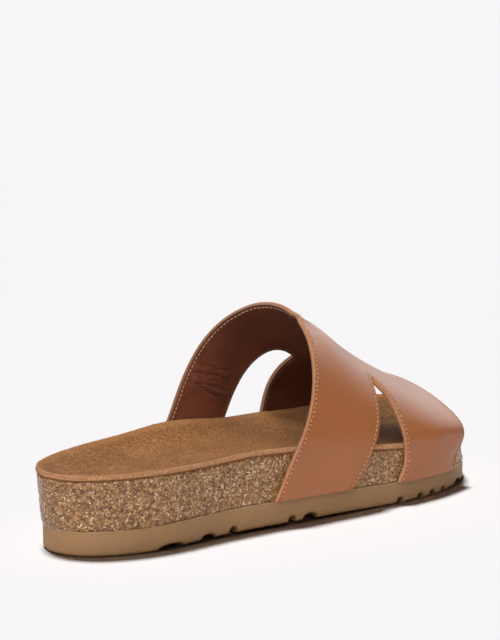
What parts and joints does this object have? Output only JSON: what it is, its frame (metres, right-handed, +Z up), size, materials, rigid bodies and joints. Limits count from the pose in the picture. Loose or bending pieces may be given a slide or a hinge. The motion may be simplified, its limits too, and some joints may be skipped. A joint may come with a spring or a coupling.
{
  "type": "slide sandal",
  "caption": "Backless slide sandal for the right foot: H-shaped leather strap upper on a suede-covered cork footbed with a notched rubber outsole.",
  "frame": {"origin": "on the floor, under the middle of the shoe's box", "axes": "+Y from heel to toe, +X to the outer (lateral) side of the right foot, +Z up"},
  "size_m": [0.097, 0.256, 0.0958],
  "materials": {
    "rubber_outsole": "matte moulded rubber, tan brown",
    "cork_midsole": "lacquered cork granules",
    "suede_insole": "napped suede",
    "leather_upper": "smooth tan leather, soft gloss"
  },
  "bodies": {
    "root": {"outsole": "rubber_outsole", "midsole": "cork_midsole", "insole": "suede_insole", "upper": "leather_upper"}
  },
  "joints": []
}
